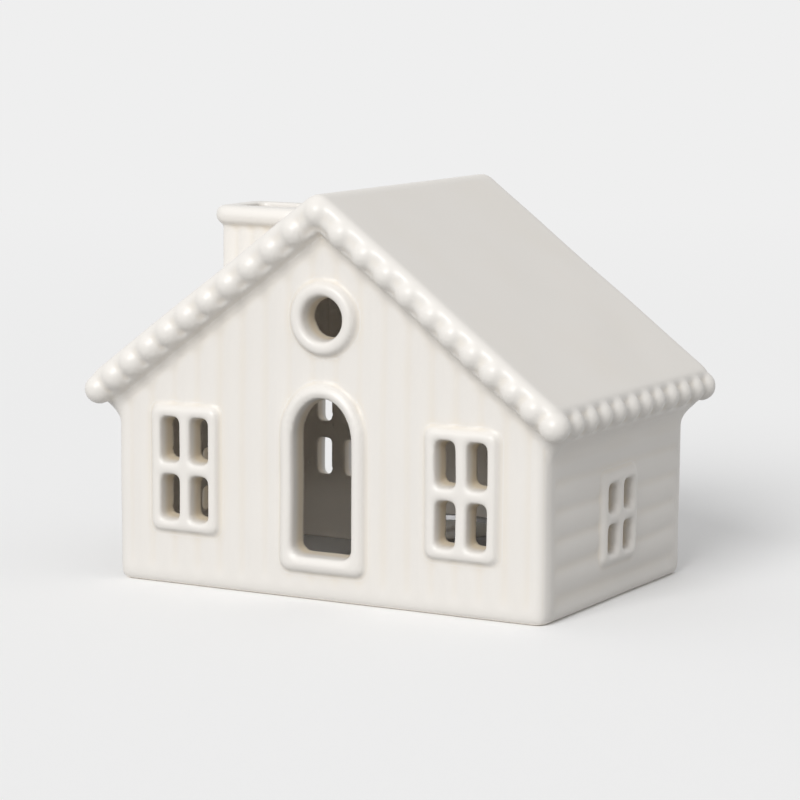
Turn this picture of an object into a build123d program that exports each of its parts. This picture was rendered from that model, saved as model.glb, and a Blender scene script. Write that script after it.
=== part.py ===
from build123d import *

import math
import os

# A ceramic house without a floor that stands over a tealight, in millimetres.
# The gable with the door faces -Y, the ridge runs along Y, and the foot is at Z = 0.

# Walls
house_width = 126.0
house_depth = 84.0
wall_thickness = 5.0
corner_radius = 3.4
foot_radius = 1.5

# Flutes pressed into the walls: upright ones at the front and rear, level ones at the sides
flute_depth = 0.35
front_flute_count = 17
front_flute_margin = 4.35
side_flute_count = 5
side_flute_foot = 6.2
side_flute_head = 5.5

# Roof
roof_pitch = 36.65
roof_thickness = 6.35
eave_overhang = 3.4
rake_overhang = 2.4
ridge_radius = 3.5
eave_edge_radius = 3.0
rake_edge_radius = 1.2

# Bead trim along the roof edges
bead_radius = 4.1
bead_drop = 4.45
bead_spacing = 8.1
bead_cord_radius = 2.8

# Window frames, seen from outside
frame_corner_radius = 2.0
frame_edge_radius = 0.7
pane_corner_radius = 1.2
frame_rebate = 1.2
window_bar = 2.5
front_window_width = 20.2
front_window_height = 33.2
front_window_margin = 2.55
front_window_proud = 1.5
front_window_sill = 14.4
window_head_gap = 3.15
left_window_gap = 11.7
right_window_gap = 13.1
side_window_width = 20.4
side_window_height = 23.9
side_window_margin = 2.4
side_window_proud = 1.2
side_window_sill = 9.8

# Arched door
door_width = 17.2
door_sill = 11.5
door_head = 52.6
door_arch_height = 10.5
door_margin = 3.5
door_sill_margin = 3.9
door_proud = 1.8
door_edge_radius = 1.0

# Round window in the gable
ring_hole_radius = 5.7
ring_radius = 9.3
ring_lap = 1.9
ring_door_gap = 7.6
ring_proud = 2.0
ring_edge_radius = 1.4

# Chimney
chimney_width = 23.2
chimney_depth = 18.0
chimney_wall = 3.6
chimney_place = -39.0
chimney_rise = 20.76
chimney_corner_radius = 1.5
chimney_flute_depth = 0.35
chimney_wide_flute_count = 5
chimney_deep_flute_count = 4
rim_height = 5.0
rim_overhang = 1.8
rim_edge_radius = 2.1
rim_lip_radius = 1.0

# Tealight
cup_radius = 19.0
cup_height = 12.5
cup_wall = 0.4
cup_rim_radius = 0.5
wax_level = 11.6
sustainer_radius = 6.0
sustainer_plate = 0.4
sustainer_neck_radius = 1.6
sustainer_neck_height = 4.5
wick_radius = 0.8
wick_stand = 6.2
tealight_x = 7.0
tealight_y = 6.0

# One overrun for every cut that has to pass right through
overrun = 2.0

# The largest share of a rib, lip or edge that a rounding may take from each side
rounding_share = 0.45

slope = math.radians(roof_pitch)
roof_fall = math.tan(slope)
roof_drop = roof_thickness / math.cos(slope)
half_width = house_width / 2
half_depth = house_depth / 2
eave_x = half_width + eave_overhang
rake_y = half_depth + rake_overhang
wall_height = front_window_sill + front_window_height + window_head_gap
roof_peak_height = wall_height + half_width * roof_fall + roof_drop
left_window_place = half_width - left_window_gap - front_window_width / 2
right_window_place = half_width - right_window_gap - front_window_width / 2
ring_height = door_head + door_margin + ring_door_gap + ring_radius
chimney_top = roof_peak_height - abs(chimney_place) * roof_fall + chimney_rise


def roof_top(x):
    """Height of the roof's upper plane at x, before the ridge is rounded."""
    return roof_peak_height - abs(x) * roof_fall


def roof_under(x):
    """Height of the roof's lower plane at x, on which the walls close."""
    return roof_top(x) - roof_drop


def on_roof_top(spot):
    """Whether a spot lies nearer to the roof's upper plane than to its lower one."""
    return spot.Z > roof_top(spot.X) - roof_drop / 2


def rounded_outline(points, radii):
    """Edges of a closed outline in the XY plane, with each corner rounded to its own radius."""
    spots = [Vector(*point) for point in points]
    corners = []
    for i, spot in enumerate(spots):
        back = (spots[i - 1] - spot).normalized()
        ahead = (spots[(i + 1) % len(spots)] - spot).normalized()
        half_angle = math.radians(back.get_angle(ahead)) / 2
        reach = radii[i] / math.tan(half_angle)
        crown = (back + ahead).normalized() * radii[i] * (1 / math.sin(half_angle) - 1)
        corners.append((spot + back * reach, spot + crown, spot + ahead * reach))
    edges = []
    for i, (start, crown, end) in enumerate(corners):
        if radii[i] > 0:
            edges.append(ThreePointArc(start, crown, end))
        edges.append(Line(end, corners[(i + 1) % len(corners)][0]))
    return edges


def flute_run(start, end, count, depth):
    """Arcs from start to end in the XY plane, bulging to the right of the way they run."""
    run = Vector(*end) - Vector(*start)
    outward = Vector(run.Y, -run.X).normalized() * depth
    knots = [Vector(*start) + run * (i / count) for i in range(count + 1)]
    return [ThreePointArc(a, (a + b) * 0.5 + outward, b) for a, b in zip(knots, knots[1:])]


def upright(face, low, high):
    """A prism of a face in the XY plane, from z = low to z = high."""
    return extrude(Pos(0, 0, low) * face, amount=high - low)


def wall_place(facing):
    """Where a wall's outer face lies: local X along the wall, local Y up, local Z outward."""
    return {
        "front": Plane((0, -half_depth, 0), x_dir=(1, 0, 0), z_dir=(0, -1, 0)),
        "rear": Plane((0, half_depth, 0), x_dir=(-1, 0, 0), z_dir=(0, 1, 0)),
        "left": Plane((-half_width, 0, 0), x_dir=(0, -1, 0), z_dir=(-1, 0, 0)),
        "right": Plane((half_width, 0, 0), x_dir=(0, 1, 0), z_dir=(1, 0, 0)),
    }[facing]


def gable_wall_blank():
    """A gable wall in its own place: fluted outside, rounded corners, top closed by the roof."""
    lie = -wall_thickness
    field = half_width - front_flute_margin
    plain = half_width - corner_radius
    middle = math.cos(math.pi / 4)
    right_mid = (plain + corner_radius * middle, corner_radius * (middle - 1))
    left_mid = (-right_mid[0], right_mid[1])
    plan = [
        Line((-half_width, lie), (half_width, lie)),
        Line((half_width, lie), (half_width, -corner_radius)),
        ThreePointArc((half_width, -corner_radius), right_mid, (plain, 0)),
        Line((plain, 0), (field, -flute_depth)),
        *flute_run((field, -flute_depth), (-field, -flute_depth), front_flute_count, flute_depth),
        Line((-field, -flute_depth), (-plain, 0)),
        ThreePointArc((-plain, 0), left_mid, (-half_width, -corner_radius)),
        Line((-half_width, -corner_radius), (-half_width, lie)),
    ]
    fluted = Rot(X=90) * upright(make_face(plan), -roof_peak_height, 0)
    gable = make_face(rounded_outline(
        [(-half_width, 0), (half_width, 0), (half_width, roof_under(half_width)),
         (0, roof_under(0)), (-half_width, roof_under(half_width))],
        [foot_radius, foot_radius, 0, 0, 0],
    ))
    section = make_face(rounded_outline(
        [(0, 0), (roof_peak_height, 0), (roof_peak_height, lie), (0, lie)],
        [foot_radius, 0, 0, 0],
    ))
    foot = Plane.YZ * upright(section, -half_width, half_width)
    return fluted & upright(gable, lie, 0) & foot


def side_wall_blank():
    """A side wall in its own place, between the gable walls, its sloping top under the roof."""
    head = roof_under(half_width)
    inner_head = roof_under(half_width - wall_thickness)
    low = side_flute_foot
    high = head - side_flute_head
    middle = foot_radius * (1 - math.cos(math.pi / 4))
    section = [
        Line((0, -wall_thickness), (0, -foot_radius)),
        ThreePointArc((0, -foot_radius), (middle, -middle), (foot_radius, 0)),
        Line((foot_radius, 0), (low, -flute_depth)),
        *flute_run((low, -flute_depth), (high, -flute_depth), side_flute_count, -flute_depth),
        Line((high, -flute_depth), (head, 0)),
        Line((head, 0), (inner_head, -wall_thickness)),
        Line((inner_head, -wall_thickness), (0, -wall_thickness)),
    ]
    reach = half_depth - wall_thickness
    return Plane.YZ * upright(make_face(section), -reach, reach)


def seated_piece(flange, spigot, opening, proud, edge_radius):
    """A raised flange let into the wall's flutes, with a spigot through the wall and an opening."""
    piece = upright(flange, -flute_depth, proud) + upright(spigot, -wall_thickness, -flute_depth)
    piece -= upright(opening, -wall_thickness - overrun, proud + overrun)
    return fillet(piece.faces().sort_by(Axis.Z)[-1].edges(), edge_radius)


def seat_cut(flange, spigot):
    """What a wall loses for such a piece: a shallow seat for the flange and a hole for the spigot."""
    seat = upright(flange, -flute_depth, overrun)
    return seat + upright(spigot, -wall_thickness - overrun, 0)


def window_faces(place, sill, width, height, margin):
    """Flange, spigot and panes of a window with two by two panes."""
    centre = Pos(place, sill + height / 2)
    flange = centre * RectangleRounded(width, height, frame_corner_radius)
    inset = 2 * frame_rebate
    spigot_radius = frame_corner_radius - frame_rebate
    spigot = centre * RectangleRounded(width - inset, height - inset, spigot_radius)
    pane_width = (width - 2 * margin - window_bar) / 2
    pane_height = (height - 2 * margin - window_bar) / 2
    pane = RectangleRounded(pane_width, pane_height, pane_corner_radius)
    steps = GridLocations(pane_width + window_bar, pane_height + window_bar, 2, 2)
    return flange, spigot, centre * Sketch(steps * pane)


def arch_face(width, low, high, arch_height):
    """An upright opening with an arched head."""
    half = width / 2
    spring = high - arch_height
    return make_face([
        Line((-half, low), (half, low)),
        Line((half, low), (half, spring)),
        EllipticalCenterArc((0, spring), half, arch_height, 0, arc_size=180),
        Line((-half, spring), (-half, low)),
    ])


def door_faces():
    """Flange, spigot and opening of the arched door."""
    lap = door_margin - frame_rebate
    flange = arch_face(
        door_width + 2 * door_margin, door_sill - door_sill_margin,
        door_head + door_margin, door_arch_height + door_margin,
    )
    corners = flange.vertices().sort_by(Axis.Y)[:2]
    flange = fillet(corners, frame_corner_radius)
    spigot = arch_face(
        door_width + 2 * lap, door_sill - door_sill_margin + frame_rebate,
        door_head + lap, door_arch_height + lap,
    )
    return flange, spigot, arch_face(door_width, door_sill, door_head, door_arch_height)


def ring_faces():
    """Flange, spigot and hole of the round gable window."""
    centre = Pos(0, ring_height)
    return (
        centre * Circle(ring_radius),
        centre * Circle(ring_radius - ring_lap),
        centre * Circle(ring_hole_radius),
    )


def make_walls_and_frames():
    """The four walls, with every piece that is let into them."""
    front_window = (front_window_sill, front_window_width, front_window_height, front_window_margin)
    left_window = window_faces(-left_window_place, *front_window)
    right_window = window_faces(right_window_place, *front_window)
    rear_left_window = window_faces(left_window_place, *front_window)
    rear_right_window = window_faces(-right_window_place, *front_window)
    side_window = window_faces(
        0, side_window_sill, side_window_width, side_window_height, side_window_margin)
    sash = (front_window_proud, min(frame_edge_radius, rounding_share * window_bar))
    side_sash = (side_window_proud, min(frame_edge_radius, rounding_share * window_bar))
    ring_width = ring_radius - ring_hole_radius
    ring = (ring_proud, min(ring_edge_radius, rounding_share * ring_width))
    door = (door_proud, min(door_edge_radius, rounding_share * door_margin))
    let_in = {
        "front": [
            ("front_left_window_frame", left_window, sash),
            ("front_right_window_frame", right_window, sash),
            ("door_surround", door_faces(), door),
            ("gable_window_ring", ring_faces(), ring),
        ],
        "rear": [
            ("rear_left_window_frame", rear_left_window, sash),
            ("rear_right_window_frame", rear_right_window, sash),
        ],
        "left": [("left_side_window_frame", side_window, side_sash)],
        "right": [("right_side_window_frame", side_window, side_sash)],
    }
    pieces = {}
    for facing, items in let_in.items():
        wall = gable_wall_blank() if facing in ("front", "rear") else side_wall_blank()
        place = wall_place(facing)
        for name, (flange, spigot, opening), finish in items:
            wall -= seat_cut(flange, spigot)
            pieces[name] = place * seated_piece(flange, spigot, opening, *finish)
        pieces[facing + "_wall"] = place * wall
    return pieces


def chimney_outline(inset):
    """The stack's outline, fluted outside, or plain and smaller for the flue."""
    wide = chimney_width / 2 - inset
    deep = chimney_depth / 2 - inset
    corner = chimney_corner_radius
    if inset > 0:
        return RectangleRounded(2 * wide, 2 * deep, corner)
    middle = corner * (1 - math.cos(math.pi / 4))
    edges = []
    quarter = [
        ((wide - corner, -deep), (wide - middle, -deep + middle), (wide, -deep + corner)),
        ((wide, deep - corner), (wide - middle, deep - middle), (wide - corner, deep)),
    ]
    turned = [tuple((-x, -y) for x, y in arc) for arc in quarter]
    arcs = quarter + turned
    for i, (start, mid, end) in enumerate(arcs):
        count = chimney_deep_flute_count if i % 2 == 0 else chimney_wide_flute_count
        edges.append(ThreePointArc(start, mid, end))
        edges += flute_run(end, arcs[(i + 1) % len(arcs)][0], count, chimney_flute_depth)
    return make_face(edges)


def make_roof_and_chimney():
    """Two roof slabs mitred at the ridge, with the chimney through the left one."""
    outline = make_face(rounded_outline(
        [(-eave_x, roof_under(eave_x)), (0, roof_under(0)), (eave_x, roof_under(eave_x)),
         (eave_x, roof_top(eave_x)), (0, roof_peak_height), (-eave_x, roof_top(eave_x))],
        [0, 0, 0, eave_edge_radius, ridge_radius, eave_edge_radius],
    ))
    roof = Rot(X=90) * upright(outline, -rake_y, rake_y)
    ends = roof.faces().sort_by(Axis.Y)
    rakes = [edge for edge in ends[0].edges() + ends[-1].edges() if on_roof_top(edge.center())]
    roof = fillet(rakes, rake_edge_radius)
    half = Box(eave_x + overrun, 2 * (rake_y + overrun), roof_peak_height + overrun,
               align=(Align.MIN, Align.CENTER, Align.MIN))
    right_slope = roof & half
    left_slope = roof & (Rot(Z=180) * half)

    at = Pos(chimney_place, 0)
    stack_top = chimney_top - rim_height
    stack = at * upright(chimney_outline(0), 0, stack_top)
    flue = at * upright(chimney_outline(chimney_wall), 0, chimney_top + overrun)
    below = make_face(Polyline(
        (-eave_x, 0), (0, 0), (0, roof_under(0)), (-eave_x, roof_under(eave_x)), close=True))
    below = Rot(X=90) * upright(below, -rake_y, rake_y)
    rim_face = RectangleRounded(
        chimney_width + 2 * rim_overhang, chimney_depth + 2 * rim_overhang,
        chimney_corner_radius + rim_overhang)
    rim = at * upright(rim_face, stack_top, chimney_top)
    rim = fillet(
        rim.faces().sort_by(Axis.Z)[0].edges() + rim.faces().sort_by(Axis.Z)[-1].edges(),
        min(rim_edge_radius, rounding_share * rim_height))
    rim -= flue
    lip = rim.faces().sort_by(Axis.Z)[-1].inner_wires().edges()
    return {
        "roof_left_slope": left_slope - stack,
        "roof_right_slope": right_slope,
        "chimney_stack": stack - below - flue,
        "chimney_rim": fillet(lip, rim_lip_radius),
    }


def bead_row(start, end, first, last, count):
    """Beads on a cord from start to end: those numbered first to last of count steps."""
    start = Vector(*start)
    run = Vector(*end) - start
    cord = Plane(start, z_dir=run) * Cylinder(
        bead_cord_radius, run.length, align=(Align.CENTER, Align.CENTER, Align.MIN))
    beads = [Pos(start + run * (i / count)) * Sphere(bead_radius) for i in range(first, last + 1)]
    return cord.fuse(*beads)


def make_beads():
    """Bead trim: rows along the eaves with the corner beads, rows up the rakes, apex beads."""
    drop = bead_drop / math.cos(slope)
    eave_z = roof_top(eave_x) - drop
    apex_z = roof_peak_height - drop
    eave_steps = math.ceil(2 * rake_y / bead_spacing)
    rake_steps = math.ceil(eave_x / math.cos(slope) / bead_spacing)
    inside = Box(2 * eave_x, 2 * rake_y, roof_peak_height + overrun,
                 align=(Align.CENTER, Align.CENTER, Align.MIN))
    eaves = {}
    for side, x in (("left", -eave_x), ("right", eave_x)):
        eaves[side] = bead_row((x, -rake_y, eave_z), (x, rake_y, eave_z), 0, eave_steps, eave_steps)
    pieces = {side + "_eave_beads": row - inside for side, row in eaves.items()}
    for end, y in (("front", -rake_y), ("rear", rake_y)):
        apex = Pos(0, y, apex_z) * Sphere(bead_radius)
        pieces[end + "_apex_bead"] = apex - inside
        for side, x in (("left", -eave_x), ("right", eave_x)):
            row = bead_row((x, y, eave_z), (0, y, apex_z), 1, rake_steps - 1, rake_steps)
            pieces[f"{end}_{side}_rake_beads"] = row - inside - apex - eaves[side]
    return pieces


def make_tealight():
    """An aluminium cup of wax with a wick in its sustainer, standing under the house."""
    at = Pos(tealight_x, tealight_y)
    inner = cup_radius - cup_wall
    cup = upright(Circle(cup_radius), 0, cup_height) - upright(Circle(inner), cup_wall, cup_height + overrun)
    bead = Pos(0, 0, cup_height) * Torus(cup_radius - cup_wall / 2, cup_rim_radius)
    cup = cup + bead
    plate_top = cup_wall + sustainer_plate
    neck_top = plate_top + sustainer_neck_height
    sustainer = upright(Circle(sustainer_radius), cup_wall, plate_top)
    sustainer += upright(Circle(sustainer_neck_radius), plate_top, neck_top)
    wick = upright(Circle(wick_radius), plate_top, wax_level + wick_stand)
    sustainer -= wick
    wax = upright(Circle(inner), cup_wall, wax_level) - sustainer - wick
    pieces = {
        "tealight_cup": cup,
        "tealight_wax": wax,
        "wick_sustainer": sustainer,
        "tealight_wick": wick,
    }
    return {name: at * piece for name, piece in pieces.items()}


pieces = {
    **make_walls_and_frames(),
    **make_roof_and_chimney(),
    **make_beads(),
    **make_tealight(),
}
os.makedirs("parts", exist_ok=True)
for name, piece in pieces.items():
    export_step(piece, f"parts/{name}.step")
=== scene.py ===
"""A glazed ceramic tealight house over its tealight, on a pale studio floor.

The clay body is put together from walls, roof, frames, beads and chimney, its openings are cut,
its glaze rounds every edge, and it is then parted into the pieces that the CAD names.
"""

import math

import bmesh
import bpy
import numpy as np
from bpy.props import FloatProperty, FloatVectorProperty, IntProperty, PointerProperty
from mathutils import Euler, Matrix, Vector, noise


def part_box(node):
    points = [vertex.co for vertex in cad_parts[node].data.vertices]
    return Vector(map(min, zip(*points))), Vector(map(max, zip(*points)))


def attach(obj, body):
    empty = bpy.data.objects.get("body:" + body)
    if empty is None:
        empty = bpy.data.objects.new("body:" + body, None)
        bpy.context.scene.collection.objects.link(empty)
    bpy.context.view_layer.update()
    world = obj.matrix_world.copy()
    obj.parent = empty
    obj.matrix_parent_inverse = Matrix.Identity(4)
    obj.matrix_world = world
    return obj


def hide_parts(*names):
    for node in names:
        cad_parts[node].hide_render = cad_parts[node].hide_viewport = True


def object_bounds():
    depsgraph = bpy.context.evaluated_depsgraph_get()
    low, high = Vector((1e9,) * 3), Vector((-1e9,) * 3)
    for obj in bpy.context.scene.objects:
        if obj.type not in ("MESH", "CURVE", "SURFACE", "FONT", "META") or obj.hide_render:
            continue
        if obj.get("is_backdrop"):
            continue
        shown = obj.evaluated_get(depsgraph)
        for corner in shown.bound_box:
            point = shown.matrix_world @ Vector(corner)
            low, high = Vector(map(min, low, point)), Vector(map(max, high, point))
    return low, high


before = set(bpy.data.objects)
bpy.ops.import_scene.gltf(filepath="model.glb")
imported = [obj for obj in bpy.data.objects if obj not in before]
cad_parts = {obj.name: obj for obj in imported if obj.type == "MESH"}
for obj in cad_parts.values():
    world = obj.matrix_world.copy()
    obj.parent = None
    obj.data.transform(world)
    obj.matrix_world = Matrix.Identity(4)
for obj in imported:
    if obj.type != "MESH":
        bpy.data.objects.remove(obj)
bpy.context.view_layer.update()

bl_info = {
    "name": "Tealight House",
    "version": (1, 0, 0),
    "blender": (4, 5, 0),
    "location": "View3D > Sidebar > Tealight House",
    "description": "Models and glazes a ceramic tealight house, its tealight and its studio",
    "category": "Object",
}

MM = 0.001
HOUSE = "house"
TEALIGHT = "tealight"
CLAY_BODY = "clay_body"
CREASE = "crease"
HAND_SEED = 5
CLOSE = 1e-6
ROUND_STEPS = 96
FINE_STEPS = 6
RIDGE_STEPS = 8
CORD_SIDES = 48
BEAD_SPLITS = 4
SMOOTHING = 0.5
CREASE_ROUNDS = 24
SHARP_EDGE = math.radians(50)
ROOF_EDGE = math.radians(40)
FLUE_ROUND = 2 * MM
CHIMNEY_CUTS = 40
GABLE_ROWS = 12
GABLE_ROW_BIAS = 2.5
WICK_SIDES = 24
WICK_STRANDS = 3
WICK_GROOVE = 0.2
WICK_STEPS = 52
WICK_TWIST = math.radians(14)
FLOOR_REACH = 6
SWEEP_START = 0.5
SWEEP_END = 1.2
SENSOR = 36
FAR_CLIP = 100


def length(name, description, millimetres):
    """A length property with a default in millimetres."""
    return FloatProperty(
        name=name, description=description, default=millimetres * MM, unit="LENGTH", precision=5)


def count(name, description, value):
    """A whole number that isn't negative."""
    return IntProperty(name=name, description=description, default=value, min=0)


def angle(name, description, degrees):
    """An angle property with a default in degrees."""
    return FloatProperty(
        name=name, description=description, default=math.radians(degrees), subtype="ANGLE")


def share(name, description, value):
    """A plain factor between 0 and 1."""
    return FloatProperty(name=name, description=description, default=value, subtype="FACTOR", min=0, max=1)


def colour(name, description, value):
    """A linear colour property."""
    return FloatVectorProperty(
        name=name, description=description, default=value, subtype="COLOR", size=3, min=0, max=1)


class ClaySizes(bpy.types.PropertyGroup):
    """Sizes of the clay body that the CAD boxes don't give."""

    grain: length("Clay grain", "Cell size that the clay body is built from", 0.6)
    glaze_rounds: count("Glaze rounds", "How often the glaze rounds the edges", 7)
    flute_depth: length("Flute depth", "Depth of the flutes in the walls", 0.55)
    front_flutes: count("Front flutes", "Boards across a gable wall", 17)
    front_margin: length("Front margin", "Plain strip beside the front flutes", 4.35)
    flute_foot: length("Flute foot", "Height at which the front flutes are at their full depth", 9)
    side_flutes: count("Side flutes", "Boards up a side wall", 5)
    side_foot: length("Side foot", "Plain strip under the side flutes", 6.2)
    side_head: length("Side head", "Plain strip over the side flutes", 8.5)
    corner_radius: length("Corner radius", "Rounding of the upright corners", 3.4)
    foot_radius: length("Foot radius", "Rounding of the walls' lower edge", 2.0)
    roof_thickness: length("Roof thickness", "Thickness of the roof slabs", 6.35)
    ridge_radius: length("Ridge radius", "Rounding of the ridge", 4.0)
    rake_reach: length("Rake reach", "How far the roof's lip runs past the bead line on the gables", 2.6)
    eave_reach: length("Eave reach", "How far the roof's lip runs past the bead line at the eaves", 1.2)
    lip_radius: length("Lip radius", "Rounding of the roof's upper edge", 2.4)
    roof_corner: length("Roof corner", "Rounding of the roof's corners in plan", 3.6)
    cove_height: length("Cove height", "Height of the hollow fillet between the walls and the roof", 9.0)
    cove_width: length("Cove width", "How far that fillet stands out from the walls under the roof", 3.3)
    cove_head: length("Cove head", "Height of the fillet's outer edge", 2.3)
    eave_cove_height: length("Eave cove height", "Height of that fillet at the eaves", 10.8)
    eave_cove_width: length("Eave cove width", "How far it stands out there", 4.4)
    eave_cove_head: length("Eave cove head", "Height of its outer edge there", 4.2)
    bead_cord: length("Bead cord", "Radius of the clay cord under the beads", 2.7)
    bead_radius: length("Bead radius", "Radius of a bead", 4.0)
    bead_spacing: length("Bead spacing", "Largest step between two beads", 8.1)
    wobble: length("Wobble", "How far hand work moves the clay", 0.25)
    wobble_span: length("Wobble span", "Length of one wave of that wobble", 22)
    bead_gather: share("Bead gather", "How much closer the rake beads sit towards the eaves", 0.13)
    bead_play: length("Bead play", "Largest change of a hand-set bead", 0.5)
    window_bar: length("Window bar", "Width of the bars between the panes", 3.2)
    window_margin: length("Window margin", "Width of the window frames", 2.9)
    pane_round: length("Pane rounding", "Rounding of the panes' corners", 1.6)
    frame_round: length("Frame rounding", "Rounding of the frames' outer corners", 2.2)
    door_margin: length("Door margin", "Width of the door's surround", 3.6)
    door_sill: length("Door sill", "Height of the door's sill within its surround", 4.0)
    arch_rise: length("Arch rise", "Rise of the door's arch", 10.5)
    door_foot: length("Door foot", "Rounding of the door's lower corners", 2.6)
    frame_edge: length("Frame edge", "Rounding of the frames' front edges", 1.5)
    pane_flare: length("Pane flare", "Rounding from the frames into the panes", 1.0)
    door_flare: length("Door flare", "Rounding from the surrounds into their openings", 1.5)
    pane_share: share("Pane share", "A pane's size at the wall's inner face, as a share", 0.84)
    ring_share: share("Round window share", "The round window's size at the inner face, as a share", 0.87)
    door_share: share("Door share", "The door's size at the inner face, as a share", 0.97)
    ring_hole: length("Round window", "Radius of the round window's opening", 5.7)
    chimney_wall: length("Chimney wall", "Thickness of the chimney's wall", 3.6)
    chimney_flute: length("Chimney flute", "Width of the chimney's flutes", 4.4)
    rim_round: length("Rim rounding", "Rounding of the chimney's rim", 2.1)
    seam: length("Seam", "How far a piece's seam runs outside its node", 1.2)
    rim_spare: length("Rim spare", "Clay that the glaze's rounding takes off the rim", 0.6)


class GlazeColours(bpy.types.PropertyGroup):
    """Colours of the glaze and the clay."""

    glaze: colour("Glaze", "White glaze on open faces", (0.79, 0.76, 0.718))
    # Partly pooled glaze, partly painted shade: this colour darkens and warms the creases and the set-back
    # faces where shade falls.
    pooled_glaze_and_shade: colour("Pooled glaze and painted shade", "Thicker glaze and painted shade in creases", (0.73, 0.635, 0.49))
    clay: colour("Bare clay", "Clay inside the house and under its foot", (0.94, 0.88, 0.80))


class StageSettings(bpy.types.PropertyGroup):
    """The studio."""

    background: colour("Background", "Colour of the backdrop", (0.863, 0.863, 0.863))
    floor: colour("Floor", "Colour of the floor as the camera sees it", (0.915, 0.915, 0.915))
    floor_bounce: colour(
        "Floor bounce", "Colour of the floor in the light that it throws back", (0.4, 0.4, 0.4))
    room: FloatProperty(name="Room", description="Strength of the even light", default=0.58)
    key: FloatProperty(name="Key", description="Strength of the key light", default=2.08)
    key_azimuth: angle("Key azimuth", "Turn of the key to the right of the front", 1)
    key_elevation: angle("Key elevation", "Height of the key, as an angle", 31)
    key_spread: angle("Key spread", "Width of the key as the object sees it", 30)
    azimuth: angle("Azimuth", "Turn of the camera to the right of the front", 28.737)
    elevation: angle("Elevation", "Height of the camera over the floor, as an angle", 8.002)
    roll: angle("Roll", "Tilt of the picture", 0.372)
    distance: length("Distance", "From the camera to its target", 840.8)
    aside: length("Aside", "Target's place left or right of the house's middle", -0.865)
    height: length("Height", "Target's height", 47.075)
    lens: FloatProperty(name="Lens", description="Focal length in millimetres", default=142.76)


def clay():
    """The clay sizes of the open scene."""
    return bpy.context.scene.tealight_house_clay


def hues():
    """The colours of the open scene."""
    return bpy.context.scene.tealight_house_colours


# Shapes


class HousePlan:
    """Where the house's main faces lie, read from the CAD nodes' boxes."""

    def __init__(self):
        wall_low, wall_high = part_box("front_wall")
        side_low, side_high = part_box("right_wall")
        roof_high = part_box("roof_right_slope")[1]
        bead_low, bead_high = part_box("front_apex_bead")
        self.half_width = wall_high.x
        self.half_depth = -wall_low.y
        self.wall = side_high.x - side_low.x
        self.inner_width = self.half_width - self.wall
        self.inner_depth = self.half_depth - self.wall
        self.apex_under = wall_high.z
        self.fall = (self.apex_under - side_high.z) / side_low.x
        self.slope = math.atan(self.fall)
        self.drop = clay().roof_thickness / math.cos(self.slope)
        self.eave_x = roof_high.x
        self.rake_y = roof_high.y
        self.bead_radius = (bead_high.x - bead_low.x) / 2
        self.apex_bead_z = bead_high.z - self.bead_radius
        eave_low, eave_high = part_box("right_eave_beads")
        self.eave_bead_z = (eave_low.z + eave_high.z) / 2

    def around(self):
        """The corners of a block well outside the house."""
        low, high = (Vector(corner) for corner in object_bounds())
        spare = Vector((self.drop, self.drop, self.drop))
        return low - spare, high + spare

    def roof_under(self, x):
        """Height of the roof's lower plane."""
        return self.apex_under - abs(x) * self.fall

    def roof_top(self, x):
        """Height of the roof's upper plane."""
        return self.roof_under(x) + self.drop


FACINGS = {
    "front": Matrix(((1, 0, 0, 0), (0, 0, -1, 0), (0, 1, 0, 0), (0, 0, 0, 1))),
    "rear": Matrix(((-1, 0, 0, 0), (0, 0, 1, 0), (0, 1, 0, 0), (0, 0, 0, 1))),
    "right": Matrix(((0, 0, 1, 0), (1, 0, 0, 0), (0, 1, 0, 0), (0, 0, 0, 1))),
    "left": Matrix(((0, 0, -1, 0), (-1, 0, 0, 0), (0, 1, 0, 0), (0, 0, 0, 1))),
}

WALL_PIECES = {
    "front_left_window_frame": "front",
    "front_right_window_frame": "front",
    "rear_left_window_frame": "rear",
    "rear_right_window_frame": "rear",
    "left_side_window_frame": "left",
    "right_side_window_frame": "right",
    "door_surround": "front",
    "gable_window_ring": "front",
}


def wall_box(node):
    """A wall piece's box seen from outside: along the wall, up, and outward."""
    to_wall = FACINGS[WALL_PIECES[node]].inverted()
    corners = [to_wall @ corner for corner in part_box(node)]
    low = Vector(min(corner[i] for corner in corners) for i in range(3))
    high = Vector(max(corner[i] for corner in corners) for i in range(3))
    return low, high


def round_edges(bm, edges, offset, segments=5):
    """Rounds edges with a round bevel."""
    bmesh.ops.bevel(
        bm, geom=edges, offset=offset, segments=segments, profile=0.5, affect="EDGES", material=-1)


def climbs(edge, least):
    """Whether an edge rises by more than a least height."""
    return abs(edge.verts[0].co.z - edge.verts[1].co.z) > least


def verts_of(result):
    """The points that an operator made."""
    return [item for item in result["geom"] if isinstance(item, bmesh.types.BMVert)]


def add_block(bm, low, high, round_uprights=0.0):
    """A box from low to high in an empty mesh, its edges along Z rounded."""
    low = Vector(low)
    high = Vector(high)
    size = high - low
    bmesh.ops.create_cube(bm, size=1, matrix=Matrix.LocRotScale((low + high) / 2, None, size))
    if round_uprights > 0:
        round_edges(bm, [e for e in bm.edges if climbs(e, size.z / 2)], round_uprights)


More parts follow.
